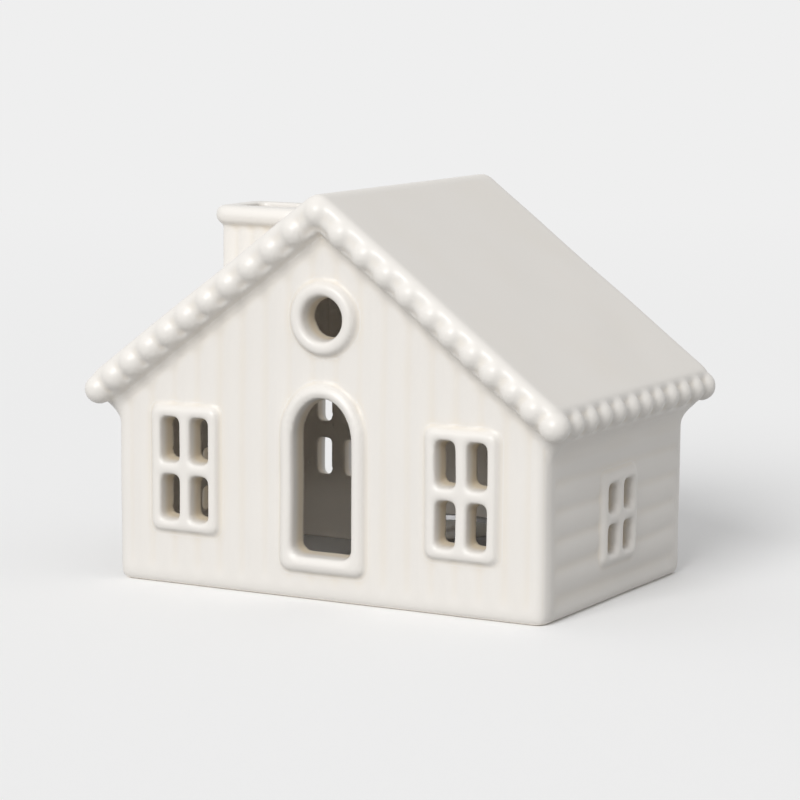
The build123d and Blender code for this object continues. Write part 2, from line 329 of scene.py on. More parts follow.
def add_arch(bm, low, high, rise, bottom, top, foot_round):
    """An arched prism: low and high give its outline, bottom and top its reach along Z."""
    middle = (low[0] + high[0]) / 2
    half = (high[0] - low[0]) / 2
    made = bmesh.ops.create_circle(bm, cap_ends=True, segments=ROUND_STEPS, radius=1)
    lower = sorted((v for v in made["verts"] if v.co.y < -1 / ROUND_STEPS), key=lambda v: v.co.x)
    feet = (lower[0], lower[-1])
    bmesh.ops.dissolve_verts(bm, verts=lower[1:-1])
    for vert in bm.verts:
        up = low[1] if vert in feet else high[1] - rise * (1 - max(vert.co.y, 0))
        across = math.copysign(1, vert.co.x) if vert in feet else vert.co.x
        vert.co = Vector((middle + half * across, up, bottom))
    raised = bmesh.ops.extrude_face_region(bm, geom=bm.faces[:])
    bmesh.ops.translate(bm, verts=verts_of(raised), vec=(0, 0, top - bottom))
    lowest = [e for e in bm.edges if all(v.co.y < low[1] + CLOSE for v in e.verts)]
    round_edges(bm, [e for e in lowest if climbs(e, CLOSE)], foot_round, FINE_STEPS)


def soften_front(bm, top, offset):
    """Rounds the edges round a prism's front face."""
    round_edges(bm, [e for e in bm.edges if all(v.co.z > top - CLOSE for v in e.verts)], offset)


def add_drum(bm, centre, radius, bottom, top):
    """A round prism along Z."""
    middle = (centre[0], centre[1], (bottom + top) / 2)
    bmesh.ops.create_cone(
        bm, cap_ends=True, segments=ROUND_STEPS, radius1=radius, radius2=radius,
        depth=top - bottom, matrix=Matrix.Translation(middle))


def board_depth(place, start, end, count):
    """How deep a row of boards lies at a place: none on a crest, 1 in a groove."""
    pitch = (end - start) / count
    within = (place - start) / pitch % 1
    return (2 * within - 1) ** 2


def fade(value, low, high):
    """0 below low, 1 above high, smooth between them."""
    t = min(max((value - low) / (high - low), 0), 1)
    return t * t * (3 - 2 * t)


def foot_inset(height):
    """How far the rounded foot of a wall lies back at a height."""
    radius = clay().foot_radius
    rest = max(radius - height, 0)
    return radius - math.sqrt(radius * radius - rest * rest)


def gable_wall(bm, plan, facing):
    """A gable wall with upright boards, rounded corners and a top that ends inside the roof."""
    sizes = clay()
    columns = round(2 * plan.half_width / sizes.grain)
    top = plan.apex_under + plan.drop / 2
    place = Matrix.LocRotScale((0, top / 2, plan.half_depth), None, (2 * plan.half_width, top, 1))
    grid = bmesh.ops.create_grid(bm, x_segments=columns, y_segments=GABLE_ROWS, size=0.5, matrix=place)
    outer = grid["verts"]
    for vert in outer:
        vert.co.y = top * (vert.co.y / top) ** GABLE_ROW_BIAS
    inner = verts_of(bmesh.ops.extrude_face_region(bm, geom=bm.faces[:]))
    for vert in inner:
        vert.co.z = plan.inner_depth
    field = plan.half_width - sizes.front_margin
    plain = plan.half_width - sizes.corner_radius
    for vert in outer:
        along = abs(vert.co.x)
        depth = sizes.flute_depth * fade(vert.co.y, sizes.foot_radius, sizes.flute_foot)
        if along <= field:
            vert.co.z -= depth * board_depth(vert.co.x, -field, field, sizes.front_flutes)
        elif along <= plain:
            vert.co.z -= depth * ((plain - along) / (plain - field)) ** 2
        else:
            bend = min((along - plain) / sizes.corner_radius, 1)
            vert.co.z -= sizes.corner_radius * (1 - math.sqrt(1 - bend * bend))
        vert.co.z -= foot_inset(vert.co.y)
    for vert in (*outer, *inner):
        bend = max((abs(vert.co.x) - plain) / sizes.corner_radius, 0)
        vert.co.x -= math.copysign(foot_inset(vert.co.y) * bend, vert.co.x)
    for side in (-1, 1):
        cut = bmesh.ops.bisect_plane(
            bm, geom=[*bm.verts, *bm.edges, *bm.faces], plane_co=(0, top, 0),
            plane_no=(side * plan.fall, 1, 0), clear_outer=True)
        rim = [e for e in cut["geom_cut"] if isinstance(e, bmesh.types.BMEdge)]
        bmesh.ops.contextual_create(bm, geom=rim)
    bmesh.ops.transform(bm, verts=bm.verts, matrix=FACINGS[facing])


def side_wall(bm, plan, facing):
    """A side wall with level boards that fade out before the corners."""
    sizes = clay()
    head = plan.roof_under(plan.half_width)
    top = head + plan.drop / 2
    rows = round(top / sizes.grain)
    reach = plan.half_depth - sizes.corner_radius
    columns = round(2 * reach / sizes.grain / 4)
    place = Matrix.LocRotScale((0, top / 2, plan.half_width), None, (2 * reach, top, 1))
    grid = bmesh.ops.create_grid(bm, x_segments=columns, y_segments=rows, size=0.5, matrix=place)
    outer = grid["verts"]
    for vert in verts_of(bmesh.ops.extrude_face_region(bm, geom=bm.faces[:])):
        vert.co.z = plan.inner_width
    low = sizes.side_foot
    high = head - sizes.side_head
    for vert in outer:
        up = vert.co.y
        depth = board_depth(up, low, high, sizes.side_flutes) if low <= up <= high else 0
        if up < low:
            depth = fade(up, 0, low)
        if up > high:
            depth = 1 - fade(up, high, head)
        ends = 1 - fade(abs(vert.co.x), plan.inner_depth - 3 * sizes.flute_depth, plan.inner_depth)
        vert.co.z -= sizes.flute_depth * depth * ends + foot_inset(up)
    bmesh.ops.transform(bm, verts=bm.verts, matrix=FACINGS[facing])


def roof_plate(bm, plan):
    """Both roof slabs as one folded plate with a rounded ridge and rolled edges."""
    sizes = clay()
    end_x = plan.eave_x + sizes.eave_reach * math.cos(plan.slope)
    end_y = plan.rake_y + sizes.rake_reach
    lip = sizes.roof_thickness * math.sin(plan.slope) / 2
    outline = [
        (-end_x + lip, plan.roof_under(end_x - lip)), (0, plan.apex_under),
        (end_x - lip, plan.roof_under(end_x - lip)), (end_x + lip, plan.roof_top(end_x + lip)),
        (0, plan.roof_top(0)), (-end_x - lip, plan.roof_top(end_x + lip)),
    ]
    add_prism(bm, [(x, -end_y, z) for x, z in outline], Vector((0, 2 * end_y, 0)))
    ridge = [e for e in bm.edges if all(v.co.z > plan.apex_under + plan.drop / 2 for v in e.verts)]
    round_edges(bm, ridge, sizes.ridge_radius * plan.fall, RIDGE_STEPS)
    bmesh.ops.recalc_face_normals(bm, faces=bm.faces)
    eaves = [e for e in bm.edges if all(abs(v.co.x) > plan.eave_x / 2 for v in e.verts)]
    round_edges(bm, [e for e in eaves if climbs(e, plan.drop / 2)], sizes.roof_corner, FINE_STEPS)
    edges = [e for e in bm.edges if e.calc_face_angle_signed() > ROOF_EDGE]
    upper = [e for e in edges if all(v.co.z > plan.roof_under(v.co.x) + plan.drop / 2 for v in e.verts)]
    lower = [e for e in edges if all(v.co.z < plan.roof_under(v.co.x) + plan.drop / 2 for v in e.verts)]
    round_edges(bm, lower, sizes.roof_thickness - sizes.lip_radius, FINE_STEPS)
    round_edges(bm, [e for e in upper if e.is_valid], sizes.lip_radius, FINE_STEPS)


def coves(bm, plan, turns=8):
    """Hollow clay fillets between the walls and the roof's underside, fuller at the eaves."""
    radius = clay().corner_radius
    rake = rake_cove(plan)
    eave = eave_cove(plan)
    run_x = plan.half_width - radius
    run_y = plan.half_depth - radius
    under = plan.roof_under(plan.half_width)
    for side in (-1, 1):
        for end in (-1, 1):
            gable = [(0, end * (plan.half_depth + out), plan.apex_under + up) for out, up in rake]
            add_prism(bm, gable, Vector((side, 0, -plan.fall)) * run_x)
            sections = []
            for i in range(turns + 1):
                turn = math.pi / 2 * i / turns
                mixed = [Vector(a).lerp(Vector(b), i / turns) for a, b in zip(eave, rake)]
                head = plan.roof_under(run_x + radius * math.cos(turn))
                sections.append([(
                    side * (run_x + (radius + out) * math.cos(turn)),
                    end * (run_y + (radius + out) * math.sin(turn)), head + up) for out, up in mixed])
            for first, second in zip(sections, sections[1:]):
                add_loft(bm, first, second)
        start = [(side * (plan.half_width + out), -run_y, under + up) for out, up in eave]
        add_prism(bm, start, Vector((0, 2 * run_y, 0)))


def rake_cove(plan, steps=8):
    """The gables' fillet: out from the wall's face and up from the roof's underside."""
    sizes = clay()
    fall = sizes.cove_height - sizes.cove_head
    reach = sizes.cove_width + sizes.flute_depth
    turns = [math.pi / 2 * i / steps for i in range(steps + 1)]
    hollow = [
        (sizes.cove_width - reach * math.sin(turn), -sizes.cove_head - fall * (1 - math.cos(turn)))
        for turn in turns
    ]
    return [*cove_back(plan, hollow), *hollow]


def eave_cove(plan, steps=8):
    """The eaves' fillet, which starts under the beads."""
    sizes = clay()
    fall = sizes.eave_cove_height - sizes.eave_cove_head
    shares = [i / steps for i in range(steps + 1)]
    hollow = [(sizes.eave_cove_width * (1 - t) ** 2, -sizes.eave_cove_head - fall * t) for t in shares]
    return [*cove_back(plan, hollow), *hollow]


def cove_back(plan, hollow):
    """The part of a fillet's outline that lies inside the wall and the roof."""
    sunk = plan.drop / 4
    return [(-sunk, hollow[-1][1]), (-sunk, sunk), (hollow[0][0], 0)]


def add_loft(bm, first, second):
    """A closed body from one outline of points to another."""
    face = bm.faces.new([bm.verts.new(point) for point in first])
    drawn = bmesh.ops.extrude_face_region(bm, geom=[face])
    ends = {tuple(v.co): v for v in verts_of(drawn)}
    for start, end in zip(first, second):
        ends[tuple(Vector(start))].co = end


def add_prism(bm, outline, run):
    """A closed prism: an outline of points drawn along a run."""
    add_loft(bm, outline, [Vector(point) + run for point in outline])


def bead_rows(bm, plan):
    """Hand-set beads along both eaves and up all four rakes."""
    sizes = clay()
    places = set()
    for x in (-plan.eave_x, plan.eave_x):
        corners = [Vector((x, y, plan.eave_bead_z)) for y in (-plan.rake_y, plan.rake_y)]
        runs = [(*corners, 0)]
        runs += [(corner, Vector((0, corner.y, plan.apex_bead_z)), sizes.bead_gather) for corner in corners]
        for start, end, gather in runs:
            places |= spaced(start, end, sizes.bead_spacing, gather)
            add_rod(bm, start, end, sizes.bead_cord)
    for place in sorted(places):
        centre = Vector(place)
        play = noise.noise_vector(centre / sizes.bead_play) * sizes.bead_play
        on_rake = abs(centre.x) < plan.eave_x - plan.bead_radius
        on_corner = not on_rake and abs(centre.y) > plan.rake_y - plan.bead_radius
        if not on_corner and abs(centre.x) > plan.bead_radius:
            away = math.copysign(play.x, centre.x)
            centre += Vector((away, 0, -abs(away) * plan.fall)) if on_rake else Vector((0, play.x, 0))
        bmesh.ops.create_icosphere(
            bm, subdivisions=BEAD_SPLITS, radius=sizes.bead_radius - abs(play.z) / 2,
            matrix=Matrix.Translation(centre))


def add_rod(bm, start, end, radius):
    """A round rod from one point to another."""
    way = end - start
    turn = Vector((0, 0, 1)).rotation_difference(way).to_matrix().to_4x4()
    bmesh.ops.create_cone(
        bm, cap_ends=True, segments=CORD_SIDES, radius1=radius, radius2=radius, depth=way.length,
        matrix=Matrix.Translation((start + end) / 2) @ turn)


def spaced(start, end, step, gather):
    """Places from start to end, about a step apart, gathered towards the start."""
    way = end - start
    count = math.ceil(way.length / step)
    shares = [i / count for i in range(count + 1)]
    return {tuple(round(c, 6) for c in start + way * (t - gather * t * (1 - t))) for t in shares}


def wall_frames(bm, _plan):
    """Raised window frames, door surround and round window, still without their openings."""
    sizes = clay()
    for node, facing in WALL_PIECES.items():
        low, high = wall_box(node)
        piece = bmesh.new()
        add_frame(piece, node, low, high)
        soften_front(piece, high.z, sizes.frame_edge)
        bmesh.ops.transform(piece, verts=piece.verts, matrix=FACINGS[facing])
        join_into(bm, piece)


def add_frame(bm, node, low, high, spare=0.0):
    """A wall piece's solid between two corners, its roundings larger by what is spare."""
    sizes = clay()
    if node == "door_surround":
        rise = sizes.arch_rise + sizes.door_margin + spare
        add_arch(bm, low, high, rise, low.z, high.z, sizes.door_foot + spare)
    elif node == "gable_window_ring":
        add_drum(bm, (low + high) / 2, (high.x - low.x) / 2, low.z, high.z)
    else:
        add_block(bm, low, high, sizes.frame_round + spare)


def chimney_blocks(bm, _plan):
    """The fluted chimney stack and its rolled rim, still solid."""
    sizes = clay()
    low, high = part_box("chimney_stack")
    size = high - low
    centre = (low + high) / 2
    stack = bmesh.new()
    add_block(stack, low, high)
    level = [e for e in stack.edges if not climbs(e, size.z / 2)]
    bmesh.ops.subdivide_edges(stack, edges=level, cuts=CHIMNEY_CUTS, use_grid_fill=True)
    for vert in stack.verts:
        away = vert.co - centre
        for axis, other in ((0, 1), (1, 0)):
            if abs(away[axis]) > size[axis] / 2 - sizes.grain / 10:
                count = round(size[other] / sizes.chimney_flute)
                depth = board_depth(vert.co[other], low[other], high[other], count)
                vert.co[axis] -= math.copysign(sizes.flute_depth * depth, away[axis])
    join_into(bm, stack)
    rim = bmesh.new()
    rim_low, rim_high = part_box("chimney_rim")
    spare = Vector((1, 1, 0)) * sizes.rim_spare
    add_block(rim, rim_low - spare, rim_high + spare, 2 * sizes.rim_round)
    round_edges(rim, [e for e in rim.edges if not climbs(e, CLOSE)], sizes.rim_round)
    join_into(bm, rim)


def opening_cutters(bm, plan):
    """Everything that is open: panes, door, round window and flue."""
    sizes = clay()
    past = plan.wall
    for node, facing in WALL_PIECES.items():
        low, high = wall_box(node)
        piece = bmesh.new()
        inner = low.z - past
        outer = high.z + past
        if node == "door_surround":
            margin = sizes.door_margin
            add_arch(
                piece, (low.x + margin, low.y + sizes.door_sill), (high.x - margin, high.y - margin),
                sizes.arch_rise, inner, outer, sizes.door_foot)
            funnel(piece, low.z, high.z, sizes.door_share, sizes.door_flare)
        elif node == "gable_window_ring":
            add_drum(piece, (low + high) / 2, sizes.ring_hole, inner, outer)
            funnel(piece, low.z, high.z, sizes.ring_share, sizes.door_flare)
        else:
            add_panes(piece, low, high, inner, outer)
        bmesh.ops.transform(piece, verts=piece.verts, matrix=FACINGS[facing])
        join_into(bm, piece)
    low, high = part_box("chimney_stack")
    rim_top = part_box("chimney_rim")[1].z
    wall = Vector((sizes.chimney_wall, sizes.chimney_wall, 0))
    below = Vector((0, 0, 2 * plan.drop))
    flue = bmesh.new()
    add_block(flue, low + wall - below, Vector((high.x, high.y, rim_top)) - wall + below, FLUE_ROUND)
    join_into(bm, flue)


def add_panes(bm, low, high, inner, outer):
    """The four openings of a window."""
    sizes = clay()
    middle = (low + high) / 2
    bar = sizes.window_bar / 2
    margin = sizes.window_margin
    for across in ((low.x + margin, middle.x - bar), (middle.x + bar, high.x - margin)):
        for up in ((low.y + margin, middle.y - bar), (middle.y + bar, high.y - margin)):
            pane = bmesh.new()
            add_block(pane, (across[0], up[0], inner), (across[1], up[1], outer), sizes.pane_round)
            funnel(pane, low.z, high.z, sizes.pane_share, sizes.pane_flare)
            join_into(bm, pane)


def funnel(bm, back, front, inner_share, flare, steps=6):
    """Narrows an opening's prism towards the wall's inner face and flares it at its front."""
    throat = front - flare
    levels = [back] + [throat + flare * math.sin(math.pi / 2 * i / steps) for i in range(steps + 1)]
    for level in levels:
        bmesh.ops.bisect_plane(
            bm, geom=[*bm.verts, *bm.edges, *bm.faces], plane_co=(0, 0, level), plane_no=(0, 0, 1))
    low = Vector(min(v.co[i] for v in bm.verts) for i in range(2))
    high = Vector(max(v.co[i] for v in bm.verts) for i in range(2))
    middle = (low + high) / 2
    half = (high - low) / 2
    for vert in bm.verts:
        narrow = 1 - (1 - inner_share) * min(max((throat - vert.co.z) / (throat - back), 0), 1)
        rise = min(max((vert.co.z - throat) / flare, 0), 1)
        wide = flare * (1 - math.sqrt(1 - rise * rise))
        for i in range(2):
            vert.co[i] = middle[i] + (vert.co[i] - middle[i]) * (narrow + wide / half[i])


def join_into(bm, piece):
    """Moves a finished small mesh into a larger one."""
    bmesh.ops.recalc_face_normals(piece, faces=piece.faces)
    carried = bpy.data.meshes.new("carried")
    piece.to_mesh(carried)
    piece.free()
    bm.from_mesh(carried)
    bpy.data.meshes.remove(carried)


def new_object(name, bm):
    """An object at the origin from a mesh under construction."""
    mesh = bpy.data.meshes.new(name)
    bm.to_mesh(mesh)
    bm.free()
    made = bpy.data.objects.new(name, mesh)
    bpy.context.scene.collection.objects.link(made)
    return made


def settle(piece):
    """Applies a piece's modifiers to its mesh."""
    graph = bpy.context.evaluated_depsgraph_get()
    mesh = bpy.data.meshes.new_from_object(piece.evaluated_get(graph))
    old = piece.data
    piece.modifiers.clear()
    piece.data = mesh
    bpy.data.meshes.remove(old)


def discard(piece):
    """Removes a helper object and its mesh."""
    mesh = piece.data
    bpy.data.objects.remove(piece)
    bpy.data.meshes.remove(mesh)


def remesh(piece, grain):
    """Rebuilds a piece as one even skin."""
    even = piece.modifiers.new("Even skin", "REMESH")
    even.mode = "VOXEL"
    even.voxel_size = grain
    even.use_smooth_shade = True
    settle(piece)


def carve(piece, cutter, operation="DIFFERENCE"):
    """Cuts one closed mesh by another."""
    cut = piece.modifiers.new("Cut", "BOOLEAN")
    cut.operation = operation
    cut.solver = "MANIFOLD"
    cut.object = cutter
    settle(piece)


def make_clay_body(plan):
    """The whole ceramic body as one soft skin."""
    sizes = clay()
    # Without a seed of its own the noise would differ from run to run.
    noise.seed_set(HAND_SEED)
    body = bmesh.new()
    for maker, facings in ((gable_wall, ("front", "rear")), (side_wall, ("left", "right"))):
        for facing in facings:
            wall = bmesh.new()
            maker(wall, plan, facing)
            join_into(body, wall)
    for maker in (roof_plate, coves, bead_rows, wall_frames, chimney_blocks):
        group = bmesh.new()
        maker(group, plan)
        join_into(body, group)
    shell = new_object(CLAY_BODY, body)
    openings = bmesh.new()
    opening_cutters(openings, plan)
    cutter = new_object("openings", openings)
    carve(shell, cutter)
    discard(cutter)
    remesh(shell, sizes.grain)
    glaze = shell.modifiers.new("Glaze", "SMOOTH")
    glaze.factor = SMOOTHING
    glaze.iterations = sizes.glaze_rounds
    settle(shell)
    mark_creases(shell)
    wobble(shell, plan)
    return shell


def mark_creases(shell):
    """Notes on each point how far a strong smoothing would lift it: creases rise, edges sink."""
    mesh = shell.data
    soft = shell.modifiers.new("Soft", "SMOOTH")
    soft.factor = SMOOTHING
    soft.iterations = CREASE_ROUNDS
    graph = bpy.context.evaluated_depsgraph_get()
    smoothed = shell.evaluated_get(graph).data
    places = []
    for source in (mesh, smoothed):
        held = np.empty(len(source.vertices) * 3, dtype=np.float32)
        source.vertices.foreach_get("co", held)
        places.append(held.reshape(-1, 3))
    normals = np.empty(len(mesh.vertices) * 3, dtype=np.float32)
    mesh.vertex_normals.foreach_get("vector", normals)
    rise = ((places[1] - places[0]) * normals.reshape(-1, 3)).sum(axis=1) / clay().grain
    shell.modifiers.clear()
    mesh.attributes.new(CREASE, "FLOAT", "POINT").data.foreach_set("value", rise)


def wobble(shell, plan):
    """Moves the clay a little, as hand work does, but keeps its foot flat and its ridge level."""
    sizes = clay()
    for vert in shell.data.vertices:
        shift = noise.noise_vector(vert.co / sizes.wobble_span) * sizes.wobble
        shift.z *= fade(vert.co.z, sizes.foot_radius, 4 * sizes.foot_radius)
        shift.z *= 1 - fade(vert.co.z, plan.apex_under - 2 * plan.drop, plan.apex_under)
        vert.co += shift


def part(source, node, cutter):
    """Takes the share of a clay object that lies inside a closed cutter as a node's own piece."""
    source = bpy.data.objects[source]
    cutter_object = new_object("cutter", settled_normals(cutter))
    piece = bpy.data.objects.new(node + "_clay", source.data.copy())
    bpy.context.scene.collection.objects.link(piece)
    carve(piece, cutter_object, "INTERSECT")
    carve(source, cutter_object)
    discard(cutter_object)
    if not piece.data.polygons or not source.data.polygons:
        raise RuntimeError("nothing to part for " + node)
    dress(piece, node, HOUSE)


def part_block(node, low, high):
    """Takes what lies inside a box off the clay body as a node's own piece."""
    cutter = bmesh.new()
    add_block(cutter, low, high)
    part(CLAY_BODY, node, cutter)


def settled_normals(bm):
    """The same mesh with its faces turned outwards."""
    bmesh.ops.recalc_face_normals(bm, faces=bm.faces)
    return bm


def dress(piece, node, body, material=None):
    """Lets a finished piece stand for its node."""
    if material:
        piece.data.materials.clear()
        piece.data.materials.append(material)
    piece.data.set_sharp_from_angle(angle=SHARP_EDGE)
    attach(piece, body)
    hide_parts(node)


def spun(name, profile, node):
    """A round piece: a profile of (radius, height) points spun about its node's upright axis."""
    low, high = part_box(node)
    centre = Vector(((low.x + high.x) / 2, (low.y + high.y) / 2, 0))
    bm = bmesh.new()
    verts = [bm.verts.new((centre.x + r, centre.y, z)) for r, z in profile]
    edges = [bm.edges.new(pair) for pair in zip(verts, verts[1:])]
    bmesh.ops.spin(
        bm, geom=verts + edges, cent=centre, axis=(0, 0, 1), angle=2 * math.pi, steps=ROUND_STEPS,
        use_merge=True)
    bmesh.ops.remove_doubles(bm, verts=bm.verts, dist=CLOSE)
    made = new_object(name, settled_normals(bm))
    made.data.shade_smooth()
    return made


def tealight_cup():
    """A drawn foil cup with a stepped base and a rolled rim."""
    low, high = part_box("tealight_cup")
    radius = (high.x - low.x) / 2
    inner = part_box("tealight_wax")
    skin = radius - (inner[1].x - inner[0].x) / 2
    floor = inner[0].z
    top = high.z
    roll = 0.5 * MM
    profile = [
        (0, low.z + 0.25 * MM), (radius * 0.55, low.z + 0.25 * MM), (radius * 0.6, low.z),
        (radius * 0.86, low.z), (radius * 0.93, low.z + 0.15 * MM), (radius - 1.0 * MM, low.z + 0.7 * MM),
        (radius - 0.6 * MM, low.z + 1.6 * MM), (radius - 0.5 * MM, top - 3 * roll),
        (radius - 0.35 * MM, top - 2.2 * roll), (radius - 0.05 * MM, top - 1.6 * roll),
        (radius, top - roll), (radius - 0.1 * MM, top - 0.3 * roll), (radius - 0.4 * MM, top),
        (radius - 0.75 * MM, top - 0.3 * roll), (radius - 0.9 * MM, top - 1.2 * roll),
        (radius - skin - 0.3 * MM, floor + 1.2 * MM), (radius - 1.6 * MM, floor + 0.2 * MM), (0, floor),
    ]
    return spun("tealight_cup_foil", profile, "tealight_cup")


def tealight_wax():
    """Poured wax with a raised edge, a shallow dish and a collar round the wick."""
    low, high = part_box("tealight_wax")
    radius = (high.x - low.x) / 2 - 0.25 * MM
    top = high.z
    wick = 1.0 * MM
    profile = [
        (0, low.z), (radius - 1.4 * MM, low.z + 0.1 * MM), (radius - 0.4 * MM, low.z + 1.4 * MM),
        (radius, top - 0.6 * MM), (radius - 0.1 * MM, top - 0.05 * MM), (radius - 0.5 * MM, top - 0.12 * MM),
        (radius - 1.4 * MM, top - 0.3 * MM), (radius * 0.6, top - 0.5 * MM), (radius * 0.3, top - 0.65 * MM),
        (3.2 * wick, top - 0.62 * MM), (1.8 * wick, top - 0.4 * MM), (1.1 * wick, top - 0.05 * MM), (0, top),
    ]
    return spun("tealight_wax_fill", profile, "tealight_wax")


def tealight_wick():
    """A twisted cotton wick of three strands."""
    low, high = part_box("tealight_wick")
    centre = (low + high) / 2
    radius = (high.x - low.x) / 2
    bm = bmesh.new()
    ring = bmesh.ops.create_circle(bm, cap_ends=True, segments=WICK_SIDES, radius=radius)
    for vert in ring["verts"]:
        around = math.atan2(vert.co.y, vert.co.x)
        vert.co *= 1 - WICK_GROOVE + WICK_GROOVE * abs(math.cos(WICK_STRANDS / 2 * around))
    bmesh.ops.translate(bm, verts=bm.verts, vec=(centre.x, centre.y, low.z))
    cap = bm.faces[:]
    for step in range(WICK_STEPS):
        raised = bmesh.ops.extrude_face_region(bm, geom=cap)
        verts = verts_of(raised)
        new_cap = [f for f in raised["geom"] if isinstance(f, bmesh.types.BMFace)]
        if step:
            bmesh.ops.delete(bm, geom=[f for f in cap if f.is_valid], context="FACES_ONLY")
        cap = new_cap
        bmesh.ops.translate(bm, verts=verts, vec=(0, 0, (high.z - low.z) / WICK_STEPS))
        bmesh.ops.rotate(bm, verts=verts, cent=centre, matrix=Matrix.Rotation(WICK_TWIST, 3, "Z"))
    made = new_object("tealight_wick_cotton", settled_normals(bm))
    made.data.shade_smooth()
    return made


# Finishes


class Value:
    """A shader value; arithmetic on it adds Math nodes."""

    def __init__(self, recipe, socket):
        self.recipe = recipe
        self.socket = socket

    def combine(self, operation, first, second):
        return self.recipe.node("Math", {"operation": operation}, {0: first, 1: second})["Value"]

    def __add__(self, other):
        return self.combine("ADD", self, other)

    def __mul__(self, other):
        return self.combine("MULTIPLY", self, other)

    def __sub__(self, other):
        return self.combine("SUBTRACT", self, other)

    def __rsub__(self, other):
        return self.combine("SUBTRACT", other, self)

    def __abs__(self):
        return self.recipe.node("Math", {"operation": "ABSOLUTE"}, {0: self})["Value"]

    def larger(self, other):
        """The larger of two values."""
        return self.combine("MAXIMUM", self, other)

    def __gt__(self, other):
        return self.combine("GREATER_THAN", self, other)

    def __lt__(self, other):
        return self.combine("LESS_THAN", self, other)

    __radd__ = __add__
    __rmul__ = __mul__


class Recipe:
    """One material's nodes."""

    def __init__(self, name, holder=None):
        self.material = holder or bpy.data.materials.new(name)
        self.material.use_nodes = True
        self.tree = self.material.node_tree
        self.tree.nodes.clear()

    def node(self, kind, settings=None, inputs=None):
        """Adds a node: its settings first, then the values or links of its sockets."""
        made = self.tree.nodes.new("ShaderNode" + kind)
        for key, value in (settings or {}).items():
            if key == "stops":
                self.set_stops(made.color_ramp, value)
            else:
                setattr(made, key, value)
        for key, value in (inputs or {}).items():
            if isinstance(value, Value):
                self.tree.links.new(value.socket, made.inputs[key])
            else:
                made.inputs[key].default_value = value
        return {socket.name: Value(self, socket) for socket in made.outputs if socket.enabled}

    def set_stops(self, ramp, stops):
        """Sets a colour ramp's grey stops."""
        while len(ramp.elements) < len(stops):
            ramp.elements.new(1)
        for element, (place, grey) in zip(ramp.elements, stops):
            element.position = place
            element.color = (grey, grey, grey, 1)

    def ramp(self, value, *stops):
        """A grey ramp over a value."""
        return self.node("ValToRGB", {"stops": stops}, {"Fac": value})["Color"]

    def place(self, stretch=None):
        """The object's own coordinates, scaled along Z if asked."""
        place = self.node("TexCoord")["Object"]
        if stretch:
            place = self.node("Mapping", None, {"Vector": place, "Scale": (1, 1, stretch)})["Vector"]
        return place

    def bump(self, strength, depth, height):
        """Relief from a height pattern, its depth in millimetres."""
        return self.node(
            "Bump", None, {"Strength": strength, "Distance": depth * MM, "Height": height})["Normal"]

    def noise(self, scale, detail, stretch=None):
        """Noise over the object's own coordinates."""
        where = self.place(stretch)
        return self.node("TexNoise", None, {"Vector": where, "Scale": scale, "Detail": detail})["Fac"]

    def blend(self, share, first, second):
        """A colour between two colours."""
        first = first if isinstance(first, Value) else (*first, 1)
        second = second if isinstance(second, Value) else (*second, 1)
        mixed = self.node("Mix", {"data_type": "RGBA"}, {0: share, 6: first, 7: second})
        return mixed["Result"]

    def seen_directly(self):
        """1 on rays from the camera, by reflection or through glass, 0 on the light that falls on things."""
        path = self.node("LightPath")
        first = path["Is Camera Ray"]
        for other in ("Is Glossy Ray", "Is Transmission Ray"):
            first = first.larger(path[other])
        return first

    def surface(self, **inputs):
        """Ends the recipe with a Principled shader."""
        named = {key.replace("_", " "): value for key, value in inputs.items()}
        shader = self.node("BsdfPrincipled", None, named)["BSDF"]
        self.node("OutputMaterial", None, {"Surface": shader})
        return self.material


def glaze_material(plan):
    """White glaze: creamier and darker in the creases, partly pooled glaze and partly painted shade, with
    painted shade on faces set back from the walls' outer faces; thin and dry on the roof, bare clay inside
    and under the foot.
    """
    recipe = Recipe("white_glaze")
    split = recipe.node("SeparateXYZ", None, {"Vector": recipe.place()})
    crease = recipe.node("Attribute", {"attribute_name": CREASE})["Fac"]
    clouds = recipe.noise(45, 1)
    flow = recipe.noise(140, 4)
    off_x = abs(split["X"])
    off_y = abs(split["Y"])
    slack = plan.wall * 0.1
    inside_x = off_x < plan.inner_width + slack
    inside_y = off_y < plan.inner_depth + slack
    level = split["Z"] + off_x * plan.fall - plan.apex_under
    under = level < plan.drop * 0.1
    dry = recipe.ramp(level * (0.5 / plan.drop), (0.465, 0), (0.4925, 1), (0.53, 1), (0.56, 0))
    proud = (off_x - plan.half_width).larger(off_y - plan.half_depth)
    # Painted shade: darkens and warms every face set back from the walls' outer faces, such as the openings'
    # reveals and the rounded foot.
    setback_shade = recipe.ramp(proud * (-1 / plan.wall), (0.12, 0), (0.5, 1)) * under
    # Partly pooled glaze, partly painted shade: the crease share darkens and warms the creases where shade
    # falls.
    pooled_glaze_and_shade = recipe.node(
        "Math", {"operation": "ADD", "use_clamp": True},
        {0: crease * 0.9 + setback_shade * 0.85, 1: (clouds - 0.42) * 0.25})["Value"]
    glazed = recipe.blend(pooled_glaze_and_shade, hues().glaze, hues().pooled_glaze_and_shade)
    bare = (inside_x * inside_y * under).larger(split["Z"] < 0.5 * MM)
    body = recipe.blend(bare, glazed, hues().clay)
    roughness = 0.42 + (flow - 0.5) * 0.14 + bare * 0.42 + dry * 0.22
    return recipe.surface(
        Base_Color=body, Roughness=roughness, Coat_Weight=(1 - bare) * (1 - dry) * 0.15,
        Coat_Roughness=0.28, Normal=recipe.bump(0.1, 0.3, clouds))


def foil_material():
    """Drawn aluminium with fine upright drawing lines and dull patches."""
    recipe = Recipe("aluminium_foil")
    lines = recipe.noise(2600, 3, 0.08)
    patches = recipe.noise(160, 3)
    tone = recipe.blend(patches, (0.66, 0.66, 0.67), (0.50, 0.50, 0.51))
    return recipe.surface(
        Base_Color=tone, Metallic=1.0, Roughness=0.34 + patches * 0.16 + lines * 0.08,
        Normal=recipe.bump(0.25, 0.1, lines))


